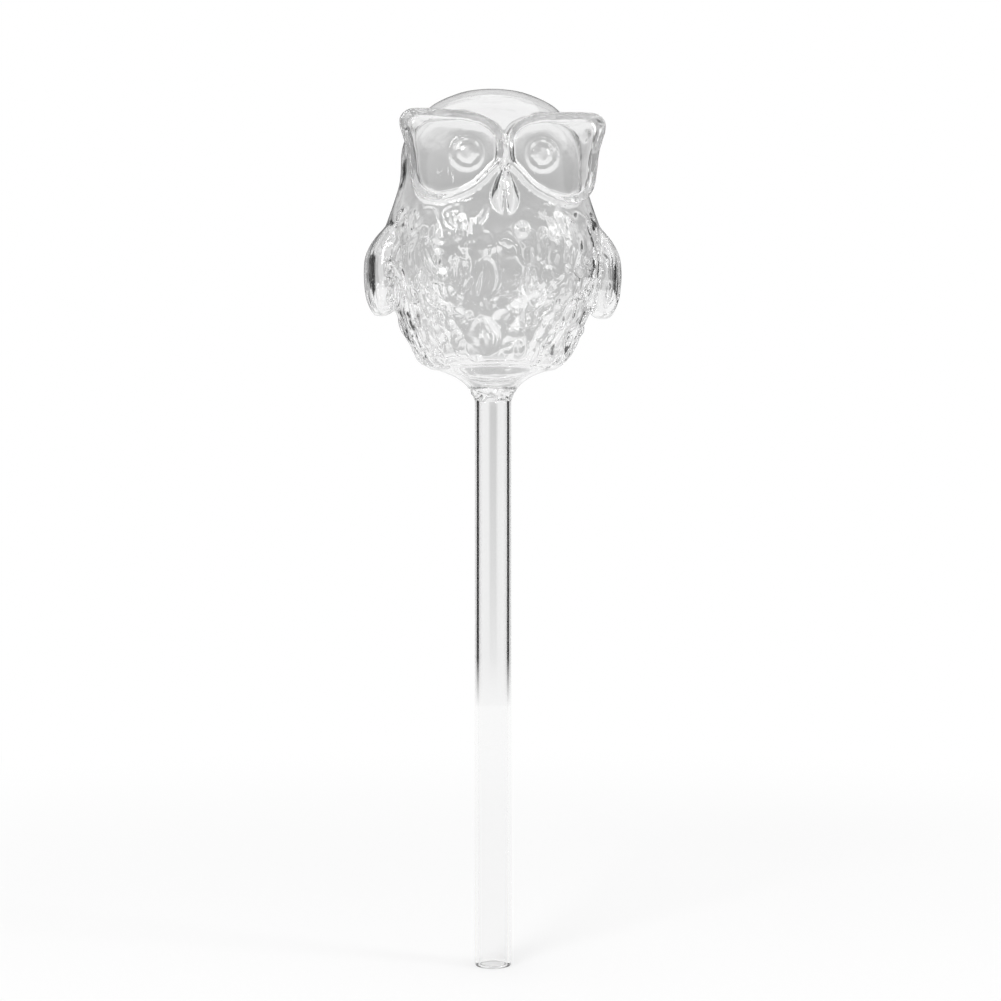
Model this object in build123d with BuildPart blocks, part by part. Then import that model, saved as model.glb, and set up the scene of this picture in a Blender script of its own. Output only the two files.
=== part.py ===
from build123d import *
from math import cos, pi, radians, sin
import os

# A clear glass watering globe: an owl-shaped hollow bulb on a straight open tube that is pushed into
# the soil of a pot. Millimetres, +Z up, the owl looks along -Y. The origin is the centre of the
# tube's open tip, so the whole part stands on the tube's axis.

# Stem tube
stem_outer_dia = 10.0
stem_wall = 1.0
stem_length = 154.8
tip_round = 0.4

# Weld ring between tube and bulb
seal_height = 3.6
seal_top_radius = 6.7
seal_bead = 0.5

# Bulb
bulb_wall = 1.3
funnel_height = 5.0
funnel_rim_radius = 15.5
body_height = 76.6
body_half_width = 31.0
body_half_depth = 26.3

# Face mask: two lobes that fold back from the bridge of the beak
mask_half_width = 27.8
mask_height = 24.4
mask_stand_out = 3.0
mask_fold_angle = 9.0
mask_depth = 14.0
brow_drop = 9.2
rim_width = 1.4
dish_depth = 1.5
dish_radius = 120.0

# Eyes
eye_spacing = 20.0
eye_height = 12.6
eye_ring_radius = 4.0
eye_ring_section = 0.55
eye_dome_radius = 3.3
eye_dome_rise = 1.9

# Beak
beak_length = 13.5
beak_half_width = 3.9
beak_top_height = 9.4
beak_rise = 2.6
beak_crease_radius = 0.5

# Wings
wing_length = 28.5
wing_base_height = 14.6
wing_stand_out = 4.7
wing_half_depth = 11.5
wing_half_thickness = 4.6
wing_flute_count = 5
wing_flute_rise = 0.7

# Feathers on breast and back: rows of raised leaf-shaped tufts that hang down
feather_length = 9.0
feather_width = 6.2
feather_rise = 0.9
feather_root_depth = 1.6
feather_pitch = 7.4
feather_row_height = 7.0
feather_row_count = 5
feather_first_height = 8.0
feather_bare_angle = 27.0
breast_bare_half_width = 3.0

# How far a cutting or joining form runs past the face that it meets
overrun = 2.0

# Outline of the body, from the ledge up to the crown: shares of its half width and height
body_shares = [
    (0.600, 0.000),
    (0.650, 0.036),
    (0.800, 0.140),
    (0.935, 0.262),
    (1.000, 0.388),
    (0.985, 0.487),
    (0.905, 0.583),
    (0.830, 0.673),
    (0.810, 0.778),
    (0.730, 0.860),
    (0.575, 0.935),
    (0.310, 0.986),
    (0.000, 1.000),
]
# Half width of the head behind the mask, as a share of the body's
head_share = 0.82

# Outline of a mask lobe, from the notch over the brow round to the beak: shares of its width and height
lobe_shares = [
    (0.000, 0.730),
    (0.130, 0.870),
    (0.310, 0.960),
    (0.600, 0.995),
    (0.860, 1.000),
    (0.965, 0.935),
    (1.000, 0.810),
    (0.935, 0.600),
    (0.900, 0.330),
    (0.860, 0.130),
    (0.730, 0.010),
    (0.560, 0.000),
    (0.300, 0.110),
    (0.100, 0.320),
    (0.000, 0.425),
]
# Middle of a lobe, and its size where it meets the head behind it, as shares of its own
lobe_centre_shares = (0.46, 0.52)
lobe_back_share = 0.82

# Sections of a wing from its hanging tip up to the shoulder: shares of its length, half depth, half
# thickness and reach
wing_shares = [
    (0.00, 0.34, 0.40, 0.895),
    (0.05, 0.66, 0.75, 0.945),
    (0.18, 0.92, 0.97, 0.985),
    (0.38, 1.00, 1.00, 1.000),
    (0.62, 0.86, 0.86, 0.950),
    (0.84, 0.56, 0.62, 0.850),
    (1.00, 0.22, 0.30, 0.770),
]

# Half outline of the beak from its tip up to its root: shares of its half width and length
beak_shares = [(0.0, 0.0), (0.74, 0.09), (1.0, 0.32), (0.66, 0.68), (0.0, 1.0)]
# Middle of the crease, as a share of the beak's length
beak_crease_share = 0.20

# Flare of the funnel and of the weld below it: shares of the step in radius and of the height
funnel_shares = [(0.0, 0.0), (0.20, 0.33), (0.51, 0.68), (1.0, 1.0)]
seal_shares = [(0.0, 0.0), (0.45, 0.55), (1.0, 1.0)]
# Height of the weld's narrowest place, as a share of its own
bead_share = 0.4

stem_radius = stem_outer_dia / 2
stem_bore_radius = stem_radius - stem_wall
neck_height = stem_length + seal_height
neck_bore_radius = seal_top_radius - bulb_wall
ledge_height = neck_height + funnel_height
crown_height = ledge_height + body_height

mask_front = head_share * body_half_depth + mask_stand_out
mask_base = crown_height - brow_drop - mask_height
fold = radians(mask_fold_angle)
lobe_width = mask_half_width / cos(fold)
lobe_centre_x = lobe_centre_shares[0] * lobe_width
lobe_centre_y = lobe_centre_shares[1] * mask_height


# The front plane of the lobe on one side, 1 for the right and -1 for the left as they are seen: its Y
# runs up and its Z forwards, and the lobe lies on its +X or -X
def lobe_plane(side):
    return Plane(
        origin=(0, -mask_front, mask_base),
        x_dir=(cos(fold), side * sin(fold), 0),
        z_dir=(side * sin(fold), -cos(fold), 0),
    )


# Points (radius, height) along a flare from a small ring up to a wide one
def flare_points(shares, low_radius, high_radius, base, height):
    step = high_radius - low_radius
    return [(low_radius + out * step, base + up * height) for out, up in shares]


# The form inside a line of (radius, height) points that runs upwards, closed towards the axis
def turned_form(points, top):
    with BuildPart() as form:
        with BuildSketch(Plane.XZ):
            with BuildLine():
                outline = Spline(*points)
                Polyline(outline @ 1, (points[-1][0], top), (0, top), (0, points[0][1]), outline @ 0)
            make_face()
        revolve(axis=Axis.Z)
    return form.part


# The owl's body and head as a round form, flattened from front to back
def body_form(inset):
    half_width = body_half_width - inset
    half_depth = body_half_depth - inset
    base = ledge_height + inset
    height = body_height - 2 * inset
    points = [(out * half_width, base + up * height) for out, up in body_shares]
    with BuildPart() as form:
        with BuildSketch(Plane.XZ):
            with BuildLine():
                outline = Spline(*points, tangents=[(1, 1), (-1, 0)])
                Polyline(outline @ 1, (0, base), outline @ 0)
            make_face()
        revolve(axis=Axis.Z)
        scale(by=(1, half_depth / half_width, 1))
    return form.part


# The face of a lobe's outline, drawn in by a margin, and to a share of its size towards the bridge
def lobe_outline(side, depth, margin, size_share):
    shrink_x = 1 - 2 * margin / lobe_width
    shrink_y = size_share * (1 - 2 * margin / mask_height)
    points = []
    for out, up in lobe_shares:
        x = lobe_centre_x + (out * lobe_width - lobe_centre_x) * shrink_x
        y = lobe_centre_y + (up * mask_height - lobe_centre_y) * shrink_y
        points.append((side * x * size_share, y))
    with BuildSketch(lobe_plane(side).offset(-depth)) as sketch:
        with BuildLine():
            outline = Spline(*points)
            Line(outline @ 1, outline @ 0)
        make_face()
    return sketch.sketch


# A lobe of the mask, from a depth behind its front plane back into the head
def lobe_form(side, front_depth, margin):
    front = lobe_outline(side, front_depth, margin, 1)
    back = lobe_outline(side, mask_depth, margin, lobe_back_share)
    with BuildPart() as form:
        loft([front, back], ruled=True)
    return form.part


# The shallow round dish inside a lobe's rim
def dish_form(side):
    with BuildPart() as form:
        extrude(lobe_outline(side, dish_depth, rim_width, 1), amount=dish_depth + overrun)
        with Locations(lobe_plane(side)):
            with Locations((side * lobe_centre_x, lobe_centre_y, dish_radius - dish_depth)):
                Sphere(dish_radius, mode=Mode.INTERSECT)
    return form.part


# An eye on the floor of the dish: a dome inside a raised ring
def eye_form(side):
    eye_x = side * eye_spacing / 2 / cos(fold)
    with BuildPart() as form:
        with Locations(lobe_plane(side)):
            with Locations((eye_x, eye_height, -dish_depth)):
                Cone(eye_ring_radius + eye_ring_section, eye_ring_radius, 2 * eye_ring_section)
                Cylinder(eye_ring_radius - eye_ring_section, overrun, mode=Mode.SUBTRACT)
            with Locations((eye_x, eye_height, -dish_depth + eye_dome_rise - eye_dome_radius)):
                Sphere(eye_dome_radius)
    return form.part


# One half of the face
def face_form(side):
    with BuildPart() as half:
        add(lobe_form(side, 0, 0))
        add(dish_form(side), mode=Mode.SUBTRACT)
        add(eye_form(side))
    return half.part


# The beak: a drop that hangs from the bridge, with a crease down its middle
def beak_form():
    base = mask_base + beak_top_height - beak_length
    middle = -mask_front - beak_rise + beak_half_width
    points = [(out * beak_half_width, up * beak_length) for out, up in beak_shares]
    with BuildPart() as beak:
        with BuildSketch(Plane.XZ):
            with BuildLine():
                outline = Spline(*points, tangents=[(1, 0), (-1, 1)])
                Line(outline @ 1, outline @ 0)
            make_face()
        revolve(axis=Axis.Z)
        with Locations((0, -beak_half_width, beak_crease_share * beak_length)):
            Cylinder(beak_crease_radius, beak_length, mode=Mode.SUBTRACT)
    return beak.part.moved(Location((0, middle, base)))


# The wing on one side: a lofted pod with long flutes down its outer side and a tip that hangs free
def wing_form(side, inset, flute_rise):
    with BuildPart() as wing:
        for up, depth_share, thickness_share, reach_share in wing_shares:
            height = ledge_height + wing_base_height + inset + up * (wing_length - 2 * inset)
            half_depth = depth_share * (wing_half_depth - inset)
            half_thickness = thickness_share * (wing_half_thickness - inset)
            reach = reach_share * (body_half_width + wing_stand_out)
            middle = reach - wing_flute_rise - inset - half_thickness
            rise = flute_rise * depth_share
            valleys = []
            crests = []
            for step in range(wing_flute_count + 1):
                turn = pi * (step / wing_flute_count - 1 / 2)
                out = middle + half_thickness * cos(turn)
                valleys.append((side * out, half_depth * sin(turn)))
                turn = turn + pi / wing_flute_count / 2
                out = middle + (half_thickness + rise) * cos(turn)
                crests.append((side * out, (half_depth + rise) * sin(turn)))
            with BuildSketch(Plane.XY.offset(height)):
                with BuildLine():
                    for step in range(wing_flute_count):
                        ThreePointArc(valleys[step], crests[step], valleys[step + 1])
                    ThreePointArc(valleys[-1], (side * (middle - half_thickness), 0), valleys[0])
                make_face()
        loft()
    return wing.part


# The body's outline in the plane of its width, from the ledge to the crown
def body_outline():
    points = [(out * body_half_width, ledge_height + up * body_height) for out, up in body_shares]
    with BuildLine() as line:
        Spline(*points, tangents=[(1, 1), (-1, 0)])
    return line.edges()[0]


# Half width of the body at a height, and the way its outline leans there
def body_width(outline, height):
    low = 0
    high = 1
    for step in range(30):
        middle = (low + high) / 2
        if (outline @ middle).Y < height:
            low = middle
        else:
            high = middle
    return (outline @ low).X, outline % low


# The plane that touches the body at a height and an angle round it, its Y up along the body
def body_plane(outline, height, turn):
    half_width, lean = body_width(outline, height)
    flatness = body_half_depth / body_half_width
    x = half_width * cos(turn)
    y = half_width * flatness * sin(turn)
    outward = Vector(x, y / flatness**2, 0).normalized()
    normal = outward * lean.Y - Vector(0, 0, lean.X)
    return Plane(origin=(x, y, height), x_dir=Vector(-outward.Y, outward.X, 0), z_dir=normal)


# One tuft: a leaf-shaped block across the body's wall
def leaf_form():
    tip = (0, -feather_length / 2)
    root = (0, feather_length / 2)
    with BuildPart() as leaf:
        with BuildSketch():
            with BuildLine():
                ThreePointArc(tip, (feather_width / 2, 0), root)
                ThreePointArc(root, (-feather_width / 2, 0), tip)
            make_face()
        extrude(amount=feather_root_depth, both=True)
    return leaf.part


# The tufts of all rows, each row set off from the one below it, cut level above the body
def feather_forms():
    outline = body_outline()
    flatness = body_half_depth / body_half_width
    leaf = leaf_form()
    level = body_form(-feather_rise)
    tufts = []
    for row in range(feather_row_count):
        height = ledge_height + feather_first_height + row * feather_row_height
        half_width = body_width(outline, height)[0]
        count = round(pi * half_width * (1 + flatness) / feather_pitch)
        for place in range(count):
            turn = 2 * pi * (place + (row % 2) / 2) / count
            side_angle = abs((turn + pi / 2) % pi - pi / 2)
            if side_angle < radians(feather_bare_angle):
                continue
            if abs(half_width * cos(turn)) < breast_bare_half_width:
                continue
            seat = body_plane(outline, height, turn)
            tufts.append(leaf.moved(seat.location) & level)
    return tufts


# Stem tube, with its open end melted round
with BuildPart() as stem_tube:
    with BuildSketch():
        Circle(stem_radius)
        Circle(stem_bore_radius, mode=Mode.SUBTRACT)
    extrude(amount=stem_length)
    tip = stem_tube.faces().sort_by(Axis.Z)[0]
    fillet(tip.edges(), radius=tip_round)

# Weld ring: flares outside from the tube to the bulb's neck, with a bead of glass inside
seal_outer = flare_points(seal_shares, stem_radius, seal_top_radius, stem_length, seal_height)
seal_inner = [
    (stem_bore_radius, stem_length),
    (stem_bore_radius - seal_bead, stem_length + bead_share * seal_height),
    (neck_bore_radius, neck_height),
]
with BuildPart() as neck_seal:
    with BuildSketch(Plane.XZ):
        with BuildLine():
            outside = Spline(*seal_outer)
            inside = Spline(*seal_inner)
            Line(outside @ 0, inside @ 0)
            Line(outside @ 1, inside @ 1)
        make_face()
    revolve(axis=Axis.Z)

# Owl bulb: the outside, and the hollow for the water that follows it at the thickness of the glass
funnel_outer = flare_points(funnel_shares, seal_top_radius, funnel_rim_radius, neck_height, funnel_height)
with BuildPart() as bulb_outside:
    add(body_form(0))
    add(feather_forms())
    for side in (-1, 1):
        add(face_form(side))
        add(wing_form(side, 0, wing_flute_rise))
    add(beak_form())
    add(turned_form(funnel_outer, ledge_height + overrun))

funnel_inner_rim = funnel_rim_radius - bulb_wall
funnel_inner = flare_points(
    funnel_shares, neck_bore_radius, funnel_inner_rim, neck_height, funnel_height + bulb_wall
)
with BuildPart() as bulb_hollow:
    add(body_form(bulb_wall))
    for side in (-1, 1):
        add(lobe_form(side, dish_depth + bulb_wall, bulb_wall))
        add(wing_form(side, bulb_wall, 0))
    add(turned_form(funnel_inner, ledge_height + bulb_wall + overrun))

with BuildPart() as owl_bulb:
    add(bulb_outside.part)
    add(bulb_hollow.part, mode=Mode.SUBTRACT)

os.makedirs("parts", exist_ok=True)
for name, piece in (("owl_bulb", owl_bulb), ("neck_seal", neck_seal), ("stem_tube", stem_tube)):
    piece.part.label = name
    export_step(piece.part, f"parts/{name}.step")
    print(name, "volume", round(piece.part.volume), "mm3, solids", len(piece.part.solids()))
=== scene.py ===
import math
import random
import bpy
from mathutils import Matrix, Vector


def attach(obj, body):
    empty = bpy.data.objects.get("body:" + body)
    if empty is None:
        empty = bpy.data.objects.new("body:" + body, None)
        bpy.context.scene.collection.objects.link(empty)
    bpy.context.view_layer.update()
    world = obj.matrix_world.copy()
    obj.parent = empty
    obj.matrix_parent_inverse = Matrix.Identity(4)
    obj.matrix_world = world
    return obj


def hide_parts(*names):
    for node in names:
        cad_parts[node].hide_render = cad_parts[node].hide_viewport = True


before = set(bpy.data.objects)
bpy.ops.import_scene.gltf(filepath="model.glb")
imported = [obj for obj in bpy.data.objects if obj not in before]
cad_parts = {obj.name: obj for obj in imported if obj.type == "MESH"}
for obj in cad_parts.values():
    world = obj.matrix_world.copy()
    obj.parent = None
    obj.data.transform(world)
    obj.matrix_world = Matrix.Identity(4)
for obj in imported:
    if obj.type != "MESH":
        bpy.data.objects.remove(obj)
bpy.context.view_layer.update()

mm = 0.001
scene = bpy.context.scene
print("frame loaded:", ", ".join(sorted(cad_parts)))


# general helpers

def deselectAll():
    if bpy.context.object is not None and bpy.context.object.mode != "OBJECT":
        bpy.ops.object.mode_set(mode="OBJECT")
    bpy.ops.object.select_all(action="DESELECT")


def activate(piece):
    deselectAll()
    piece.select_set(True)
    bpy.context.view_layer.objects.active = piece
    return piece


def applyPlace(piece):
    activate(piece)
    bpy.ops.object.transform_apply(location=True, rotation=True, scale=True)
    return piece


def applyModifier(piece, kind, **settings):
    activate(piece)
    modifier = piece.modifiers.new(kind.lower(), kind)
    for name, value in settings.items():
        setattr(modifier, name, value)
    bpy.ops.object.modifier_apply(modifier=modifier.name)
    return piece


def joinPieces(pieces, name):
    activate(pieces[0])
    for piece in pieces:
        piece.select_set(True)
    bpy.ops.object.join()
    joined = bpy.context.object
    joined.name = name
    joined.data.name = name
    return joined


def placedCopy(piece, place):
    copy = piece.copy()
    copy.data = piece.data.copy()
    copy.data.transform(place)
    copy.matrix_world = Matrix.Identity(4)
    scene.collection.objects.link(copy)
    return copy


# The values of the rows around a height, blended
def between(rows, height):
    if height <= rows[0][0]:
        return rows[0][1:]
    for low, high in zip(rows, rows[1:]):
        if height <= high[0]:
            part = (height - low[0]) / (high[0] - low[0])
            return tuple(a + (b - a) * part for a, b in zip(low[1:], high[1:]))
    return rows[-1][1:]


# a closed solid that runs up through rings: (height, middle x, middle y, half width, half depth)
def ringSolid(name, rings, sides):
    deselectAll()
    height, x, y, halfWidth, halfDepth = rings[0]
    bpy.ops.mesh.primitive_circle_add(vertices=sides, radius=1, fill_type="NGON", location=(x, y, height))
    piece = bpy.context.object
    piece.name = name
    bpy.ops.object.mode_set(mode="EDIT")
    bpy.ops.mesh.select_all(action="SELECT")
    bpy.ops.transform.resize(value=(halfWidth, halfDepth, 1), center_override=(x, y, height))
    for nextHeight, nextX, nextY, nextWidth, nextDepth in rings[1:]:
        step = (nextX - x, nextY - y, nextHeight - height)
        bpy.ops.mesh.extrude_region_move(TRANSFORM_OT_translate={"value": step})
        height, x, y = nextHeight, nextX, nextY
        bpy.ops.transform.resize(
            value=(nextWidth / halfWidth, nextDepth / halfDepth, 1), center_override=(x, y, height)
        )
        halfWidth, halfDepth = nextWidth, nextDepth
    bpy.ops.mesh.select_all(action="SELECT")
    bpy.ops.mesh.normals_make_consistent(inside=False)
    bpy.ops.object.mode_set(mode="OBJECT")
    return applyPlace(piece)


# a Catmull-Rom point between the two middle ones of four
def curvePoint(quad, t):
    return tuple(
        0.5 * (2 * b + (c - a) * t + (2 * a - 5 * b + 4 * c - d) * t * t + (3 * b - a - 3 * c + d) * t ** 3)
        for a, b, c, d in zip(*quad)
    )


# Rows along a curve through given ones
def smoothRows(rows, steps):
    last = len(rows) - 1
    smooth = []
    for index in range(last):
        quad = (rows[max(index - 1, 0)], rows[index], rows[index + 1], rows[min(index + 2, last)])
        smooth += [curvePoint(quad, step / steps) for step in range(steps)]
    return smooth + [tuple(rows[last])]


# the same round a closed outline
def smoothLoop(points, steps):
    count = len(points)
    smooth = []
    for index in range(count):
        quad = [points[(index + offset) % count] for offset in (-1, 0, 1, 2)]
        smooth += [curvePoint(quad, step / steps) for step in range(steps)]
    return smooth


# body and head

body = {
    "ledgeHeight": 163.4 * mm,
    "height": 76.6 * mm,
    "halfWidth": 30.4 * mm,
    "halfDepth": 25.6 * mm,
    "sides": 96,
    # share of the height, share of the half width
    "outline": [
        (0.000, 0.560), (0.012, 0.605), (0.036, 0.655), (0.140, 0.800), (0.262, 0.935), (0.388, 1.000),
        (0.487, 0.985), (0.583, 0.905), (0.673, 0.840), (0.778, 0.825), (0.845, 0.765), (0.900, 0.655),
        (0.945, 0.535), (0.985, 0.310), (0.997, 0.130),
    ],
}


def bodyRows(inset):
    rows = []
    for up, out in smoothRows(body["outline"], 4):
        height = body["ledgeHeight"] + inset + up * (body["height"] - 2 * inset)
        rows.append((height, out * (body["halfWidth"] - inset), out * (body["halfDepth"] - inset)))
    return rows


def bodySolid(inset):
    rings = [(height, 0, 0, width, depth) for height, width, depth in bodyRows(inset)]
    return ringSolid("body", rings, body["sides"])


# funnel between the ledge and the weld

funnel = {
    "bottom": 158.4 * mm,
    "neckRadius": 6.7 * mm,
    "rimRadius": 15.5 * mm,
    "height": 5.0 * mm,
    # share of the height, share of the way from the neck's radius to the rim's
    "flare": [(0.0, 0.0), (0.33, 0.20), (0.68, 0.51), (1.0, 1.0)],
    # how far it runs on at both ends, past the cut at the weld and into the body
    "overlap": 3.0 * mm,
    "sides": 96,
}


def funnelSolid(inset):
    start = funnel["neckRadius"] - inset
    rings = [(funnel["bottom"] - funnel["overlap"], 0, 0, start, start)]
    for up, out in smoothRows(funnel["flare"], 3):
        radius = start + out * (funnel["rimRadius"] - funnel["neckRadius"])
        rings.append((funnel["bottom"] + up * (funnel["height"] + inset), 0, 0, radius, radius))
    rings.append((rings[-1][0] + funnel["overlap"], 0, 0, rings[-1][3], rings[-1][4]))
    return ringSolid("funnel", rings, funnel["sides"])


# face mask: two goggle lobes with a raised rim

mask = {
    "halfWidth": 27.8 * mm,
    "height": 24.4 * mm,
    "base": 206.4 * mm,
    "front": 24.6 * mm,
    "fold": math.radians(9),
    "depth": 19 * mm,
    # width of its back as a share of the front's
    "backShare": 0.98,
    # its upper corner is drawn in more, from this share of its height up
    "cornerFrom": 0.55,
    "cornerShare": 0.84,
    # the dish lies this far behind the rim
    "floor": 0.5 * mm,
    "centre": (0.46, 0.52),
    # across and into the rim, step by step from its outer edge, mm
    "rimSteps": [
        (0.30, -0.35), (0.45, -0.12), (0.45, 0.12), (0.40, 0.45), (0.60, 0.25), (2.40, 0.10), (3.00, 0.05),
    ],
    # shares of the lobe's width and height, from the notch over the brow round to the beak
    "outline": [
        (0.020, 0.700), (0.050, 0.770), (0.130, 0.868), (0.310, 0.955), (0.600, 0.990), (0.860, 1.000),
        (0.960, 0.955), (1.000, 0.850), (0.965, 0.700), (0.930, 0.560), (0.905, 0.330), (0.860, 0.130),
        (0.740, 0.018), (0.560, 0.000), (0.300, 0.110), (0.110, 0.310), (0.030, 0.415), (0.012, 0.520),
        (0.012, 0.620),
    ],
}


# From the flat lobe, front facing -Y and base at zero, to its place on the head
def lobePlace(side):
    seat = Matrix.Translation((0, -mask["front"], mask["base"]))
    return seat @ Matrix.Rotation(side * mask["fold"], 4, "Z")


def lobeSolid(side, inset, rimmed):
    width = mask["halfWidth"] / math.cos(mask["fold"])
    middle = Vector((mask["centre"][0] * width, 0, mask["centre"][1] * mask["height"]))
    shrink = Vector((1 - 2 * inset / width, 1, 1 - 2 * inset / mask["height"]))
    points = []
    for out, up in smoothLoop(mask["outline"], 5):
        point = Vector((out * width, 0, up * mask["height"]))
        points.append(middle + (point - middle) * shrink)
    deselectAll()
    bpy.ops.mesh.primitive_circle_add(vertices=len(points), radius=1, fill_type="NGON", location=(0, 0, 0))
    piece = bpy.context.object
    piece.name = "lobe"
    for vertex, point in zip(piece.data.vertices, points):
        vertex.co = point
    bpy.ops.object.mode_set(mode="EDIT")
    bpy.ops.mesh.select_all(action="SELECT")
    # back wall, drawn in towards the head
    bpy.ops.mesh.extrude_region_move(TRANSFORM_OT_translate={"value": (0, mask["depth"], 0)})
    bpy.ops.mesh.select_all(action="SELECT")
    bpy.ops.mesh.normals_make_consistent(inside=False)
    bpy.ops.object.mode_set(mode="OBJECT")
    for vertex in piece.data.vertices:
        if vertex.co.y > mask["depth"] / 2:
            up = vertex.co.z / mask["height"]
            part = min(1, max(0, (up - mask["cornerFrom"]) / (1 - mask["cornerFrom"])))
            vertex.co.x *= mask["backShare"] + (mask["cornerShare"] - mask["backShare"]) * part
    if rimmed:
        scene.tool_settings.mesh_select_mode = (False, False, True)
        for face in piece.data.polygons:
            face.select = face.center.y < mask["depth"] / 4
        bpy.ops.object.mode_set(mode="EDIT")
        # rounded rim, then the dish inside it
        for thickness, inwards in mask["rimSteps"]:
            bpy.ops.mesh.inset(thickness=thickness * mm, depth=0, use_even_offset=False)
            bpy.ops.transform.translate(value=(0, inwards * mm, 0))
        bpy.ops.object.mode_set(mode="OBJECT")
    else:
        piece.data.transform(Matrix.Translation((0, mask["floor"] + inset, 0)))
    if side < 0:
        piece.data.transform(Matrix.Scale(-1, 4, (1, 0, 0)))
        piece.data.flip_normals()
    piece.data.transform(lobePlace(side))
    return piece


# eyes

eye = {
    "spacing": 20.0 * mm,
    "height": 12.6 * mm,
    "ringRadius": 3.9 * mm,
    "ringSection": 0.6 * mm,
    "domeRadius": 3.0 * mm,
    "domeRise": 1.3 * mm,
    # share of the wall by which the dome is smaller inside
    "innerShrink": 0.6,
}


def eyeSolids(side, inset):
    spot = (side * eye["spacing"] / 2 / math.cos(mask["fold"]), mask["floor"] + inset, eye["height"])
    place = lobePlace(side) @ Matrix.Translation(spot)
    solids = []
    if inset == 0:
        deselectAll()
        bpy.ops.mesh.primitive_torus_add(
            major_radius=eye["ringRadius"], minor_radius=eye["ringSection"],
            major_segments=48, minor_segments=12, rotation=(math.pi / 2, 0, 0),
        )
        solids.append(applyPlace(bpy.context.object))
    deselectAll()
    radius = eye["domeRadius"] - inset * eye["innerShrink"]
    bpy.ops.mesh.primitive_uv_sphere_add(segments=48, ring_count=24, radius=radius)
    bpy.ops.transform.resize(value=(1, eye["domeRise"] / eye["domeRadius"], 1))
    solids.append(applyPlace(bpy.context.object))
    for solid in solids:
        solid.data.transform(place)
    return solids


# brow: the shoulder of glass from the crown out to each upper corner of the mask

brow = {
    "middle": (14.0 * mm, -13.0 * mm, 226.8 * mm),
    "size": (11.8 * mm, 7.6 * mm, 4.6 * mm),
    "lean": math.radians(-3),
}


def browSolid(side, inset):
    x, y, z = brow["middle"]
    deselectAll()
    bpy.ops.mesh.primitive_uv_sphere_add(segments=48, ring_count=24, radius=1)
    solid = bpy.context.object
    solid.scale = [length - inset for length in brow["size"]]
    solid.rotation_euler = (0, -side * brow["lean"], side * mask["fold"])
    solid.location = (side * x, y, z)
    return applyPlace(solid)


# beak

beak = {
    "length": 13.5 * mm,
    "halfWidth": 3.3 * mm,
    "top": 215.8 * mm,
    "rise": 1.0 * mm,
    # it is two drops side by side: middle and half width of each, shares of the half width there
    "dropMiddle": 0.60,
    "dropHalf": 0.44,
    # set back where it is wide, at the tip, and as a whole
    "backShare": 0.55,
    "tipBack": 0.6 * mm,
    "seatShare": 0.35,
    "depthShare": 0.80,
    "leastDepth": 0.8 * mm,
    "sides": 24,
    # share of the length from the tip up, share of the half width
    "outline": [
        (0.0, 0.10), (0.05, 0.45), (0.14, 0.80), (0.30, 1.0), (0.50, 0.92), (0.72, 0.60), (0.90, 0.32),
        (0.97, 0.24),
    ],
}


def beakSolids():
    solids = []
    for side in (-1, 1):
        rings = []
        for up, out in smoothRows(beak["outline"], 3):
            half = out * beak["halfWidth"]
            height = beak["top"] - beak["length"] * (1 - up)
            lean = -mask["front"] - beak["rise"] + half * beak["backShare"] + beak["tipBack"] * (1 - up)
            rings.append((
                height, side * half * beak["dropMiddle"], lean + beak["halfWidth"] * beak["seatShare"],
                half * beak["dropHalf"], half * beak["depthShare"] + beak["leastDepth"],
            ))
        solids.append(ringSolid("beak", rings, beak["sides"]))
    return solids


# wings

wing = {
    "top": 207.5 * mm,
    "length": 29.6 * mm,
    "reach": 35.6 * mm,
    "halfDepth": 11.5 * mm,
    "halfThickness": 4.6 * mm,
    "leastHalf": 0.4 * mm,
    "sides": 96,
    "fluteCount": 5,
    "fluteRise": 0.35 * mm,
    # under 1 takes the flutes further round, and the start turns them a little
    "fluteSpread": 0.4,
    "fluteStart": 0.4,
    # share of the length over which they fade at the shoulder
    "fluteFade": 0.3,
    # share of the length from the tip up, then shares of half depth, half thickness and reach
    "sections": [
        (0.00, 0.22, 0.30, 0.915), (0.03, 0.48, 0.55, 0.935), (0.10, 0.76, 0.82, 0.965),
        (0.20, 0.93, 0.96, 0.987), (0.38, 1.00, 1.00, 0.998), (0.55, 0.94, 0.96, 0.985),
        (0.70, 0.90, 0.84, 0.920), (0.84, 0.78, 0.66, 0.825), (1.00, 0.42, 0.32, 0.745),
    ],
}


def wingSolid(side, inset, fluted):
    rings = []
    for up, depthShare, thickShare, reachShare in smoothRows(wing["sections"], 4):
        height = wing["top"] - wing["length"] + inset + up * (wing["length"] - 2 * inset)
        halfDepth = max(depthShare * wing["halfDepth"] - inset, wing["leastHalf"])
        halfThick = max(thickShare * wing["halfThickness"] - inset, wing["leastHalf"])
        middle = reachShare * wing["reach"] - thickShare * wing["halfThickness"] - wing["fluteRise"]
        rings.append((height, side * middle, 0, halfThick, halfDepth))
    piece = ringSolid("wing", rings, wing["sides"])
    if not fluted:
        return piece
    # flutes run down the outer side and fade at the shoulder
    rows = [(height, middle, halfThick, halfDepth) for height, middle, _, halfThick, halfDepth in rings]
    for vertex in piece.data.vertices:
        middle, halfThick, halfDepth = between(rows, vertex.co.z)
        turn = math.atan2(vertex.co.y / halfDepth, side * (vertex.co.x - middle) / halfThick)
        fade = min(1, max(0, (wing["top"] - vertex.co.z) / (wing["fluteFade"] * wing["length"])))
        outward = max(0, math.cos(turn)) ** wing["fluteSpread"]
        wave = 0.5 + 0.5 * math.cos(turn * wing["fluteCount"] * 2 + wing["fluteStart"])
        vertex.co.x += side * outward * wing["fluteRise"] * fade * wave
    return piece


# feathers

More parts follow.
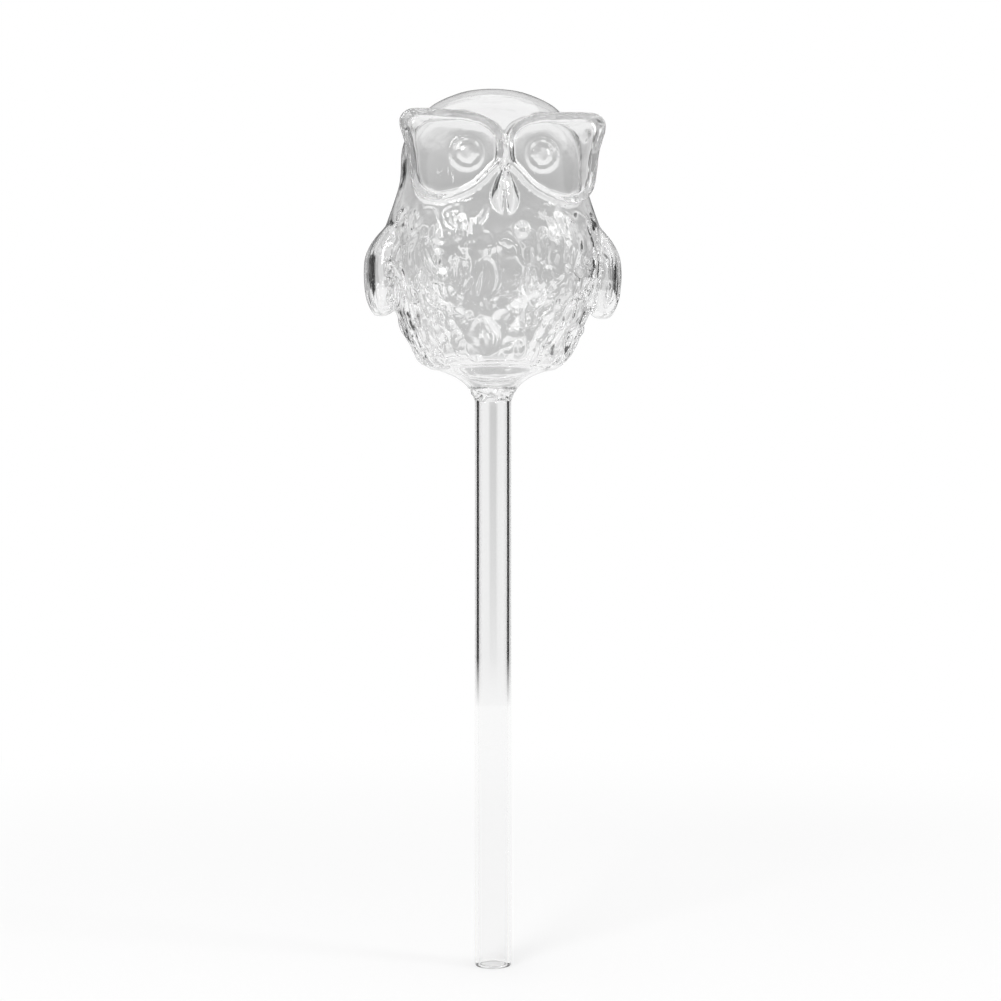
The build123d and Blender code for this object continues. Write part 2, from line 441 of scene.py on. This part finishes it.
feather = {
    "bareHalfWidth": 3.0 * mm,
    "seed": 11,
    # what a row's spread of 1 does: turn as a share of the pitch, spin, size, rise and height
    "turnSpread": 0.16,
    "spinSpread": math.radians(24),
    "sizeSpread": 0.2,
    "riseSpread": (-0.45, 0.25),
    "heightSpread": 1.0 * mm,
    # mm: height above the ledge, pitch, length, width, rise
    # then shares: spread of the places, and ridges on the leaf
    "rows": [
        {"up": 4.0, "pitch": 3.6, "length": 6.5, "width": 2.9, "rise": 0.34, "spread": 0.5, "ridge": 0.0},
        {"up": 8.0, "pitch": 6.8, "length": 9.6, "width": 6.4, "rise": 0.70, "spread": 0.7, "ridge": 0.30},
        {"up": 11.5, "pitch": 4.6, "length": 7.0, "width": 2.6, "rise": 0.40, "spread": 1.0, "ridge": 0.0},
        {"up": 15.0, "pitch": 6.8, "length": 9.8, "width": 6.6, "rise": 0.75, "spread": 0.7, "ridge": 0.26},
        {"up": 22.0, "pitch": 6.8, "length": 10.0, "width": 6.8, "rise": 0.80, "spread": 0.7, "ridge": 0.24},
        {"up": 29.0, "pitch": 6.8, "length": 10.2, "width": 7.0, "rise": 0.75, "spread": 0.8, "ridge": 0.22},
        {"up": 36.0, "pitch": 6.4, "length": 9.6, "width": 6.4, "rise": 0.60, "spread": 1.0, "ridge": 0.15},
    ],
}
# small uneven lumps over the tufts
lump = {
    "count": 260,
    # mm above the ledge
    "bottom": 2.5,
    "top": 41.0,
    # mm: half length and half width, rise, and how far each is lifted off the surface
    "length": (1.2, 3.2),
    "width": (0.7, 1.8),
    "rise": (0.30, 0.75),
    "lift": 0.15,
    # made taller by this, because the smoothing of the skin takes some of it
    "fullness": 1.6,
    # radians either way
    "spin": 0.9,
    # they crowd beside the breast's plainer middle: mm aside, share of the lumps that stay
    "crowd": [(0, 0.05), (5, 0.15), (9, 1.0), (21, 1.0), (26, 0.4), (32, 0.3)],
}
# the body has no relief within this angle of the side, from just under the wing's tip up
wingHides = {"angle": math.radians(24), "from": wing["top"] - wing["length"] - mm}


def underWing(turn, height):
    sideAngle = min(turn % math.pi, math.pi - turn % math.pi)
    return sideAngle < wingHides["angle"] and height > wingHides["from"]


# narrowing at the tip and at the root, ridges and their fan, rise at the middle and what the tip has more
leaf = {
    "tipTaper": 0.30,
    "rootTaper": 0.20,
    "ridges": 3,
    "fanWidth": 1.15,
    "fan": 0.35,
    "rise": 0.72,
    "tipRise": 0.28,
}


# one tuft of unit half sizes: a leaf with ridges that fan from its root, tip towards -Y, rising along +Z
def featherMaster(ridgeShare):
    deselectAll()
    bpy.ops.mesh.primitive_uv_sphere_add(segments=40, ring_count=20, radius=1)
    piece = applyPlace(bpy.context.object)
    for vertex in piece.data.vertices:
        x, y, z = vertex.co
        point = 1 - leaf["tipTaper"] * max(0, -y) ** 2 - leaf["rootTaper"] * max(0, y)
        fan = leaf["fanWidth"] - leaf["fan"] * y
        ridge = 1 + ridgeShare * math.cos(leaf["ridges"] * math.pi * x / fan)
        slope = leaf["rise"] - leaf["tipRise"] * y
        vertex.co = (x * point, y, z * (ridge * slope if z > 0 else 1))
    piece.name = "featherMaster"
    return piece


# A spot of the body's surface, its normal, and the axes of what lies there: across, up, outward
def bodySeat(profile, turn, height):
    halfWidth, halfDepth = between(profile, height)
    slope = (between(profile, height + mm)[0] - between(profile, height - mm)[0]) / (2 * mm)
    spot = Vector((halfWidth * math.cos(turn), halfDepth * math.sin(turn), height))
    outward = Vector((math.cos(turn) / halfWidth, math.sin(turn) / halfDepth, 0)).normalized()
    normal = (outward - Vector((0, 0, slope))).normalized()
    across = Vector((-outward.y, outward.x, 0))
    return spot, normal, Matrix((across, normal.cross(across), normal)).transposed().to_4x4()


def featherSolids(inset, riseShare):
    draw = random.Random(feather["seed"])
    profile = bodyRows(inset)
    solids = []
    for number, row in enumerate(feather["rows"]):
        master = featherMaster(row["ridge"])
        height = body["ledgeHeight"] + row["up"] * mm
        places = round(math.pi * sum(between(profile, height)) / (row["pitch"] * mm))
        loose = row["spread"]
        for place in range(places):
            shift = draw.uniform(-feather["turnSpread"], feather["turnSpread"]) * loose
            turn = 2 * math.pi * (place + (number % 2) / 2 + shift) / places
            spin = draw.uniform(-1, 1) * feather["spinSpread"] * loose
            size = 1 + draw.uniform(-feather["sizeSpread"], feather["sizeSpread"]) * loose
            lift = 1 + draw.uniform(*feather["riseSpread"]) * loose
            spot, _, seat = bodySeat(profile, turn, height)
            if underWing(turn, height) or abs(spot.x) < feather["bareHalfWidth"]:
                continue
            higher = draw.uniform(-1, 1) * loose * feather["heightSpread"]
            halves = (row["width"] * size / 2 * mm, row["length"] * size / 2 * mm,
                      row["rise"] * lift * riseShare * mm, 1)
            solids.append(placedCopy(master, (
                Matrix.Translation((spot.x, spot.y, height + higher)) @ seat
                @ Matrix.Rotation(spin, 4, "Z") @ Matrix.Diagonal(halves)
            )))
        bpy.data.objects.remove(master)
    return solids + lumpSolids(profile, riseShare, draw)


def lumpSolids(profile, riseShare, draw):
    master = featherMaster(0)
    solids = []
    while len(solids) < lump["count"]:
        up = draw.uniform(lump["bottom"], lump["top"])
        turn = draw.uniform(0, 2 * math.pi)
        width, length, rise = [draw.uniform(*lump[name]) for name in ("width", "length", "rise")]
        spin = draw.uniform(-lump["spin"], lump["spin"])
        height = body["ledgeHeight"] + up * mm
        if underWing(turn, height):
            continue
        spot, normal, seat = bodySeat(profile, turn, height)
        if draw.random() > between(lump["crowd"], abs(spot.x) / mm)[0]:
            continue
        halves = (width * mm, length * mm, rise * riseShare * mm * lump["fullness"], 1)
        solids.append(placedCopy(master, (
            Matrix.Translation(spot + normal * lump["lift"] * mm) @ seat
            @ Matrix.Rotation(spin, 4, "Z") @ Matrix.Diagonal(halves)
        )))
    bpy.data.objects.remove(master)
    return solids


# the bulb: one blown skin outside, a softer one inside

glassWall = 1.3 * mm
skin = {
    "outerVoxel": 0.45 * mm,
    "innerVoxel": 0.9 * mm,
    # rounds of smoothing at this factor, and those after thinning
    "outerSmooth": 6,
    "innerSmooth": 8,
    "smoothFactor": 0.5,
    "settle": 2,
    # share of the faces that stays
    "outerKeep": 0.64,
    "innerKeep": 1.0,
    # share of the feathers' rise that shows inside
    "innerRelief": 0.6,
    "sharpFrom": math.radians(60),
}


def blownSkin(name, pieces, which):
    joined = joinPieces(pieces, name)
    applyModifier(joined, "REMESH", mode="VOXEL", voxel_size=skin[which + "Voxel"], use_smooth_shade=True)
    applyModifier(joined, "SMOOTH", factor=skin["smoothFactor"], iterations=skin[which + "Smooth"])
    if skin[which + "Keep"] < 1:
        applyModifier(joined, "DECIMATE", ratio=skin[which + "Keep"])
        applyModifier(joined, "SMOOTH", factor=skin["smoothFactor"], iterations=skin["settle"])
    return joined


def owlBulb():
    outer = [bodySolid(0), funnelSolid(0)]
    inner = [bodySolid(glassWall), funnelSolid(glassWall)]
    for side in (-1, 1):
        outer += [lobeSolid(side, 0, True), wingSolid(side, 0, True), browSolid(side, 0)]
        outer += eyeSolids(side, 0)
        inner += [lobeSolid(side, glassWall, False), wingSolid(side, glassWall, False)]
        inner += [browSolid(side, glassWall)] + eyeSolids(side, glassWall)
    outer += beakSolids()
    outer += featherSolids(0, 1)
    inner += featherSolids(glassWall, skin["innerRelief"])
    outerSkin = blownSkin("outerSkin", outer, "outer")
    innerSkin = blownSkin("innerSkin", inner, "inner")
    innerSkin.data.flip_normals()
    bulb = joinPieces([outerSkin, innerSkin], "owlGlass")
    # the neck is cut square where the weld begins, and its two skins are joined there
    bpy.ops.object.mode_set(mode="EDIT")
    bpy.ops.mesh.select_all(action="SELECT")
    bpy.ops.mesh.bisect(plane_co=(0, 0, funnel["bottom"]), plane_no=(0, 0, 1), clear_inner=True)
    bpy.ops.mesh.select_all(action="DESELECT")
    bpy.ops.mesh.select_mode(type="EDGE")
    bpy.ops.mesh.select_non_manifold()
    bpy.ops.mesh.bridge_edge_loops()
    bpy.ops.object.mode_set(mode="OBJECT")
    bpy.ops.object.shade_smooth_by_angle(angle=skin["sharpFrom"])
    return bulb


# the weld ring and the tube

stem = {
    "radius": 5.0 * mm,
    "wall": 1.0 * mm,
    "length": 154.8 * mm,
    # height of the rounded tip, and of the rings above it that keep the long walls' shading level
    "tipRound": 1.1 * mm,
    "tipHold": 0.3 * mm,
    "tipSteps": 12,
    "sides": 96,
    "sharpFrom": math.radians(50),
}
weld = {
    "height": 3.6 * mm,
    "topRadius": 6.7 * mm,
    # its outside widens slowly up to here
    "waistRadius": 5.75 * mm,
    "waistUp": 1.9 * mm,
    # the bead narrows the bore at this share of its height
    "bead": 0.4 * mm,
    "beadUp": 0.4,
    "gap": 0.02 * mm,
    # waves of the remelted ring: size, count round it, radians up it, start
    "lumpRise": 0.14 * mm,
    "waves": [(1.0, 3, 9, 0), (0.7, 7, -5, 1), (0.5, 12, 14, 0)],
    # the bubbles caught in it: largest at the middle height, and between an inner and an outer radius
    # in mm, the outer one growing with the height
    "bubbleCount": 16,
    "bubbleRadius": (0.14 * mm, 0.34 * mm),
    "bubbleUp": (0.22, 0.75),
    "bubbleMiddle": 0.45,
    "bubbleShrink": 0.5,
    "bubbleInner": 4.25,
    "bubbleOuter": 4.95,
    "bubbleFlare": 0.6,
    "bubbleStretch": (1.0, 1.5),
    "bubbleFlat": 0.8,
    "seed": 4,
}


# A closed ring of glass: (radius, height) points round its section, spun about the axis
def turnedGlass(name, outline, sides):
    deselectAll()
    bpy.ops.mesh.primitive_circle_add(vertices=len(outline), radius=1, fill_type="NOTHING")
    piece = bpy.context.object
    piece.name = name
    for vertex, (radius, height) in zip(piece.data.vertices, outline):
        vertex.co = (radius, 0, height)
    bpy.ops.object.mode_set(mode="EDIT")
    bpy.ops.mesh.select_all(action="SELECT")
    bpy.ops.mesh.spin(steps=sides, angle=2 * math.pi, center=(0, 0, 0), axis=(0, 0, 1))
    bpy.ops.mesh.select_all(action="SELECT")
    bpy.ops.mesh.remove_doubles(threshold=0.001 * mm)
    bpy.ops.mesh.normals_make_consistent(inside=False)
    bpy.ops.object.mode_set(mode="OBJECT")
    activate(piece)
    bpy.ops.object.shade_smooth_by_angle(angle=stem["sharpFrom"])
    return piece


def stemTube():
    inner = stem["radius"] - stem["wall"]
    half = stem["wall"] / 2
    top = stem["length"] - weld["gap"]
    tip = stem["tipRound"]
    hold = tip + stem["tipHold"]
    outline = [(stem["radius"], top), (inner, top), (inner, hold)]
    # the fire-polished rim is rounded, and higher than the wall is thick
    for step in range(stem["tipSteps"] + 1):
        turn = math.pi * step / stem["tipSteps"]
        outline.append((inner + half - half * math.cos(turn), tip - tip * math.sin(turn)))
    outline.append((stem["radius"], hold))
    return turnedGlass("stemGlass", outline, stem["sides"])


def weldRing():
    low = stem["length"]
    high = low + weld["height"]
    inner = stem["radius"] - stem["wall"]
    outside = smoothRows([
        (stem["radius"], low),
        (weld["waistRadius"], low + weld["waistUp"]),
        (weld["topRadius"], high),
    ], 5)
    inside = smoothRows([
        (weld["topRadius"] - glassWall, high),
        (inner - weld["bead"], low + weld["beadUp"] * weld["height"]),
        (inner, low),
    ], 5)
    ring = turnedGlass("weldRing", outside + inside, stem["sides"])
    for vertex in ring.data.vertices:
        x, y, z = vertex.co
        turn = math.atan2(y, x)
        up = (z - low) / weld["height"]
        wave = sum(
            size * math.sin(around * turn + along * up + start)
            for size, around, along, start in weld["waves"]
        )
        grown = 1 + weld["lumpRise"] * wave * math.sin(math.pi * up) / math.hypot(x, y)
        vertex.co = (x * grown, y * grown, z)
    draw = random.Random(weld["seed"])
    pieces = [ring]
    for _ in range(weld["bubbleCount"]):
        up = draw.uniform(*weld["bubbleUp"])
        off = abs(up - weld["bubbleMiddle"])
        radius = draw.uniform(*weld["bubbleRadius"]) * (1 - weld["bubbleShrink"] * off)
        turn = draw.uniform(0, 2 * math.pi)
        out = draw.uniform(weld["bubbleInner"], weld["bubbleOuter"] + weld["bubbleFlare"] * up) * mm
        stretch = draw.uniform(*weld["bubbleStretch"])
        deselectAll()
        bpy.ops.mesh.primitive_uv_sphere_add(segments=16, ring_count=10, radius=radius)
        bubble = applyPlace(bpy.context.object)
        bubble.data.transform(
            Matrix.Translation((out * math.cos(turn), out * math.sin(turn), low + up * weld["height"]))
            @ Matrix.Rotation(turn, 4, "Z") @ Matrix.Diagonal((1, stretch, weld["bubbleFlat"], 1))
        )
        bubble.data.flip_normals()
        bubble.data.polygons.foreach_set("use_smooth", [True] * len(bubble.data.polygons))
        pieces.append(bubble)
    return joinPieces(pieces, "weldGlass")


# materials

def linearColour(text):
    channels = [int(text[i:i + 2], 16) / 255 for i in (1, 3, 5)]
    linear = [c / 12.92 if c <= 0.04045 else ((c + 0.055) / 1.055) ** 2.4 for c in channels]
    return (*linear, 1)


def addNode(tree, kind, settings=None, links=None):
    node = tree.nodes.new(kind)
    for name, value in (settings or {}).items():
        if isinstance(name, int) or name in node.inputs:
            node.inputs[name].default_value = value
        else:
            setattr(node, name, value)
    for name, source in (links or {}).items():
        tree.links.new(source, node.inputs[name])
    return node


def newMaterial(name):
    material = bpy.data.materials.new(name)
    material.use_nodes = True
    material.node_tree.nodes.clear()
    return material


glass = {
    "ior": 1.47,
    "body": "#fcfcfc",
    # painted shade: the grey its colour turns to where the surface is seen edge-on, which draws a dark
    # outline, and the facing values over which it turns
    "edge": "#a4a4a4",
    "paintedShadeStart": 0.76,
    "paintedShadeEnd": 1.0,
    # per metre of glass
    "loss": 2.8,
}
# mm: grain across and along the piece, and its rise
ripples = {
    # soft waves where the wall touched the mould
    "blown": {"across": 4.0, "along": 4.0, "rise": 0.05, "detail": 1.0},
    # the short curls of a flame-worked seam
    "remelted": {"across": 1.3, "along": 0.9, "rise": 0.08, "detail": 2.0},
    # the long fine lines of a drawn tube
    "drawn": {"across": 0.9, "along": 60.0, "rise": 0.006, "detail": 1.0},
}


# Borosilicate glass: clear, and darker where light runs a long way through it; its colour also turns grey
# where its surface is seen edge-on, a painted shade that draws its dark outline.
# The ripple bends what shows through it: its grain across and along the piece is in mm.
def borosilicateGlass(name, ripple):
    material = newMaterial(name)
    tree = material.node_tree
    place = addNode(tree, "ShaderNodeTexCoord")
    across, along = 1 / (ripple["across"] * mm), 1 / (ripple["along"] * mm)
    grain = addNode(tree, "ShaderNodeMapping", {"Scale": (across, across, along)},
                    {"Vector": place.outputs["Object"]})
    waves = addNode(tree, "ShaderNodeTexNoise", {"Scale": 1.0, "Detail": ripple["detail"], "Roughness": 0.4},
                    {"Vector": grain.outputs["Vector"]})
    bump = addNode(tree, "ShaderNodeBump", {"Strength": 1.0, "Distance": ripple["rise"] * mm},
                   {"Height": waves.outputs["Fac"]})
    # painted shade: the colour turns grey towards the outline, where the surface is seen edge-on
    facing = addNode(tree, "ShaderNodeLayerWeight", {"Blend": 0.5})
    edge = addNode(tree, "ShaderNodeMapRange", {
        "From Min": glass["paintedShadeStart"], "From Max": glass["paintedShadeEnd"], "interpolation_type": "SMOOTHSTEP",
    }, {"Value": facing.outputs["Facing"]})
    tintWithPaintedEdgeShade = addNode(tree, "ShaderNodeMix", {"data_type": "RGBA"}, {"Factor": edge.outputs["Result"]})
    tintWithPaintedEdgeShade.inputs[6].default_value = linearColour(glass["body"])
    tintWithPaintedEdgeShade.inputs[7].default_value = linearColour(glass["edge"])
    surface = addNode(tree, "ShaderNodeBsdfPrincipled", {
        "IOR": glass["ior"], "Transmission Weight": 1.0, "Roughness": 0.0,
    }, {"Base Color": tintWithPaintedEdgeShade.outputs[2], "Normal": bump.outputs["Normal"]})
    # light that is led along inside the wall is lost bit by bit, so long ways come out darker
    inside = addNode(tree, "ShaderNodeVolumeAbsorption", {"Color": (0, 0, 0, 1), "Density": glass["loss"]})
    addNode(tree, "ShaderNodeOutputMaterial", None,
            {"Surface": surface.outputs[0], "Volume": inside.outputs[0]})
    return material


def wear(piece, material):
    piece.data.materials.clear()
    piece.data.materials.append(material)


# pieces

bulbPiece = owlBulb()
print("owl bulb:", len(bulbPiece.data.polygons), "faces")
stemPiece = stemTube()
weldPiece = weldRing()
print("stem and weld made")

wear(bulbPiece, borosilicateGlass("mouldBlownBorosilicate", ripples["blown"]))
wear(weldPiece, borosilicateGlass("remeltedBorosilicate", ripples["remelted"]))
wear(stemPiece, borosilicateGlass("drawnBorosilicateTube", ripples["drawn"]))

for piece, node, slot in (
    (bulbPiece, "owl_bulb", "blown_glass"),
    (weldPiece, "neck_seal", "sealed_glass"),
    (stemPiece, "stem_tube", "tube_glass"),
):
    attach(piece, "root")
    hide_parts(node)


# studio

studio = {
    "floorRadius": 3.0,
    "floorColour": "#f4f4f4",
    # the floor keeps the shadow near the object and turns plain white between these distances, m
    "floorNear": 0.06,
    "floorFar": 0.5,
    "floorGlow": 0.6,
    "worldLight": 0.8,
    "keyPower": 2.0,
    "fillPower": 0.8,
    "lampAim": (0, 0, 0.2),
    "ringRadius": 0.7,
    "ringTop": 1.2,
    "paperTop": 0.6,
    "ringDark": 0.02,
    # grey of the paper behind the owl by height, m
    "owlPaper": [
        (0.00, 0.97), (0.215, 0.90), (0.235, 0.56), (0.30, 0.50), (0.358, 0.58), (0.388, 0.92), (0.60, 0.97),
    ],
    # grey of the narrow strip behind the stem by height, m
    "stemPaper": [(0.00, 0.97), (0.08, 0.80), (0.18, 0.66), (0.60, 0.66)],
    # half angles, degrees: where the paper's grey ends, and where the dark panels begin and end
    "owlAngles": (11, 23, 85),
    "stemAngles": (2.2, 27, 85),
    # grey of the lighter paper between them
    "owlLight": 0.80,
    "stemLight": 0.97,
    # the grey fades out over this share of its angle to both sides, the panels' edges over this angle
    "greySoft": 0.4,
    "panelSoft": math.radians(2),
    # the dark panels fade out above this height, m
    "darkTop": 0.36,
    "darkFade": 0.04,
    # what is mirrored from behind the owl, up to this angle from straight behind
    "mirrorGrey": 0.03,
    "mirrorTo": math.radians(85),
    # the paper in front, behind the camera, is a plain grey
    "frontGrey": 0.50,
    "frontFrom": math.radians(100),
    "frontSoft": 0.2,
    # the stem is seen against the paper below this height, m
    "stemBelow": 0.195,
    "stemSoft": 0.01,
    # at its foot the ring is as pale as the floor, and so the stem's dark lines end softly
    "footTop": 0.03,
    "footGrey": 0.97,
}


# White to the camera, and to what glass lets through or mirrors
def whiteWorld():
    world = bpy.data.worlds.new("whiteStudio")
    world.use_nodes = True
    tree = world.node_tree
    tree.nodes.clear()
    path = addNode(tree, "ShaderNodeLightPath")
    seen = addNode(tree, "ShaderNodeMath", {"operation": "MAXIMUM"},
                   {0: path.outputs["Is Camera Ray"], 1: path.outputs["Is Transmission Ray"]})
    white = addNode(tree, "ShaderNodeMath", {"operation": "MAXIMUM"},
                    {0: seen.outputs[0], 1: path.outputs["Is Glossy Ray"]})
    strength = addNode(tree, "ShaderNodeMapRange", {"To Min": studio["worldLight"], "To Max": 1.0},
                       {"Value": white.outputs[0]})
    light = addNode(tree, "ShaderNodeBackground", {"Color": (1, 1, 1, 1)}, {"Strength": strength.outputs[0]})
    addNode(tree, "ShaderNodeOutputWorld", None, {"Surface": light.outputs[0]})
    scene.world = world


def paleFloor():
    deselectAll()
    bpy.ops.mesh.primitive_circle_add(
        vertices=96, radius=studio["floorRadius"], fill_type="NGON", location=(0, 0, 0),
    )
    floor = applyPlace(bpy.context.object)
    floor.name = "studioFloor"
    material = newMaterial("paleFloor")
    tree = material.node_tree
    place = addNode(tree, "ShaderNodeTexCoord")
    far = addNode(tree, "ShaderNodeVectorMath", {"operation": "LENGTH"}, {0: place.outputs["Object"]})
    fade = addNode(tree, "ShaderNodeMapRange", {
        "From Min": studio["floorNear"], "From Max": studio["floorFar"], "interpolation_type": "SMOOTHSTEP",
    }, {"Value": far.outputs["Value"]})
    matt = addNode(tree, "ShaderNodeBsdfDiffuse", {"Color": linearColour(studio["floorColour"])})
    white = addNode(tree, "ShaderNodeEmission", {"Color": (1, 1, 1, 1), "Strength": 1.0})
    near = addNode(tree, "ShaderNodeMixShader", {0: studio["floorGlow"]},
                   {1: matt.outputs[0], 2: white.outputs[0]})
    mixed = addNode(tree, "ShaderNodeMixShader", None,
                    {0: fade.outputs[0], 1: near.outputs[0], 2: white.outputs[0]})
    addNode(tree, "ShaderNodeOutputMaterial", None, {"Surface": mixed.outputs[0]})
    wear(floor, material)


def greyOf(value):
    return (value, value, value, 1)


# 0 below a value and 1 above it, with a soft step between the two ends
def softStep(tree, start, end, source):
    step = addNode(tree, "ShaderNodeMapRange", {"From Min": start, "From Max": end}, {"Value": source})
    return step.outputs[0]


def maths(tree, operation, first, second):
    return addNode(tree, "ShaderNodeMath", {"operation": operation}, {0: first, 1: second}).outputs[0]


# from the first tone, where the share is 0, to a plain grey of this value, where it is 1
def mixGrey(tree, share, first, value):
    mixed = addNode(tree, "ShaderNodeMix", {"data_type": "RGBA", 7: greyOf(value)}, {0: share, 6: first})
    return mixed.outputs[2]


# the value of one of the paper's height tables
def paperRamp(tree, height, rows):
    ramp = addNode(tree, "ShaderNodeValToRGB", None, {"Fac": height})
    while len(ramp.color_ramp.elements) < len(rows):
        ramp.color_ramp.elements.new(0.5)
    for element, (at, value) in zip(ramp.color_ramp.elements, rows):
        element.position = at / studio["paperTop"]
        element.color = greyOf(value)
    return ramp.outputs["Color"]


# one half-angle profile round the ring: grey paper, lighter paper beyond it, then a dark panel
def paperProfile(tree, off, height, grey, angles, pale):
    greyEnd, darkFrom, darkTo = [math.radians(angle) for angle in angles]
    soft = studio["panelSoft"]
    beyond = softStep(tree, greyEnd * (1 - studio["greySoft"]), greyEnd * (1 + studio["greySoft"]), off)
    lit = mixGrey(tree, beyond, grey, pale)
    start = softStep(tree, darkFrom - soft, darkFrom + soft, off)
    end = softStep(tree, darkTo + soft, darkTo - soft, off)
    under = softStep(tree, studio["darkTop"] + studio["darkFade"], studio["darkTop"], height)
    band = maths(tree, "MULTIPLY", maths(tree, "MULTIPLY", start, end), under)
    return mixGrey(tree, band, lit, studio["ringDark"])


# the paper that the glass shows and mirrors: grey behind the object, with a dark panel at each side.
# The camera, the lamps and matt surfaces don't see it.
def greyRing():
    deselectAll()
    bpy.ops.mesh.primitive_cylinder_add(
        vertices=96, radius=studio["ringRadius"], depth=studio["ringTop"], end_fill_type="NOTHING",
        location=(0, 0, studio["ringTop"] / 2),
    )
    ring = applyPlace(bpy.context.object)
    ring.name = "greyPaperRing"
    material = newMaterial("greyPaper")
    tree = material.node_tree
    place = addNode(tree, "ShaderNodeTexCoord")
    axes = addNode(tree, "ShaderNodeSeparateXYZ", None, {0: place.outputs["Object"]})
    up = axes.outputs["Z"]
    share = softStep(tree, 0.0, studio["paperTop"], up)
    angle = maths(tree, "ARCTAN2", axes.outputs["X"], axes.outputs["Y"])
    aside = addNode(tree, "ShaderNodeMath", {"operation": "ADD", 1: view["azimuth"]}, {0: angle})
    off = addNode(tree, "ShaderNodeMath", {"operation": "ABSOLUTE"}, {0: aside.outputs[0]}).outputs[0]
    stemTone, owlTone = [
        paperProfile(
            tree, off, up, paperRamp(tree, share, studio[part + "Paper"]),
            studio[part + "Angles"], studio[part + "Light"],
        )
        for part in ("stem", "owl")
    ]
    limit, soft = studio["stemBelow"], studio["stemSoft"]
    above = softStep(tree, limit - soft, limit + soft, up)
    paper = addNode(tree, "ShaderNodeMix", {"data_type": "RGBA"}, {0: above, 6: stemTone, 7: owlTone})
    limit, soft = studio["frontFrom"], studio["frontSoft"]
    front = softStep(tree, limit - soft, limit + soft, off)
    around = mixGrey(tree, front, paper.outputs[2], studio["frontGrey"])
    # what the owl's outer skin mirrors is dark, and that draws its outline
    path = addNode(tree, "ShaderNodeLightPath")
    bounced = addNode(tree, "ShaderNodeMath", {"operation": "SUBTRACT", "use_clamp": True},
                      {0: path.outputs["Is Glossy Ray"], 1: path.outputs["Is Transmission Ray"]})
    behind = addNode(tree, "ShaderNodeMath", {"operation": "LESS_THAN", 1: studio["mirrorTo"]}, {0: off})
    mirrored = maths(tree, "MULTIPLY", bounced.outputs[0], behind.outputs[0])
    outlined = mixGrey(tree, maths(tree, "MULTIPLY", mirrored, above), around, studio["mirrorGrey"])
    foot = softStep(tree, studio["footTop"], 0.0, up)
    faded = mixGrey(tree, foot, outlined, studio["footGrey"])
    glow = addNode(tree, "ShaderNodeEmission", {"Strength": 1.0}, {"Color": faded})
    addNode(tree, "ShaderNodeOutputMaterial", None, {"Surface": glow.outputs[0]})
    wear(ring, material)
    ring.visible_camera = False
    ring.visible_diffuse = False
    ring.visible_shadow = False


def softLamp(name, place, size, power):
    data = bpy.data.lights.new(name, "AREA")
    data.shape = "RECTANGLE"
    data.size, data.size_y = size
    data.energy = power
    lamp = bpy.data.objects.new(name, data)
    scene.collection.objects.link(lamp)
    lamp.location = place
    aim = Vector(studio["lampAim"]) - Vector(place)
    lamp.rotation_euler = aim.to_track_quat("-Z", "Y").to_euler()


# camera: level with the upper stem, a little to the owl's right

view = {
    "azimuth": math.radians(-8),
    "distance": 553 * mm,
    "height": 127.55 * mm,
    "aside": 2.06 * mm,
    "lens": 72.43,
    "sensor": 36,
    "clipStart": 10 * mm,
}
whiteWorld()
paleFloor()
greyRing()
softLamp("keySoftbox", (-0.35, -0.5, 0.55), (0.25, 0.25), studio["keyPower"])
softLamp("fillSoftbox", (0.5, -0.3, 0.45), (0.15, 0.3), studio["fillPower"])

cameraData = bpy.data.cameras.new("camera")
cameraData.lens = view["lens"]
cameraData.sensor_width = view["sensor"]
cameraData.clip_start = view["clipStart"]
camera = bpy.data.objects.new("camera", cameraData)
scene.collection.objects.link(camera)
rightwards = Vector((math.cos(view["azimuth"]), math.sin(view["azimuth"]), 0))
backwards = Vector((math.sin(view["azimuth"]), -math.cos(view["azimuth"]), 0))
camera.location = rightwards * view["aside"] + backwards * view["distance"] + Vector((0, 0, view["height"]))
camera.rotation_euler = (-backwards).to_track_quat("-Z", "Y").to_euler()
scene.camera = camera
scene.view_settings.view_transform = "Standard"
# light that is caught between the two skins of the glass is mirrored on for a long way
bounces = 200
scene.cycles.max_bounces = bounces
scene.cycles.transmission_bounces = bounces
scene.cycles.glossy_bounces = bounces
print("studio and camera set")
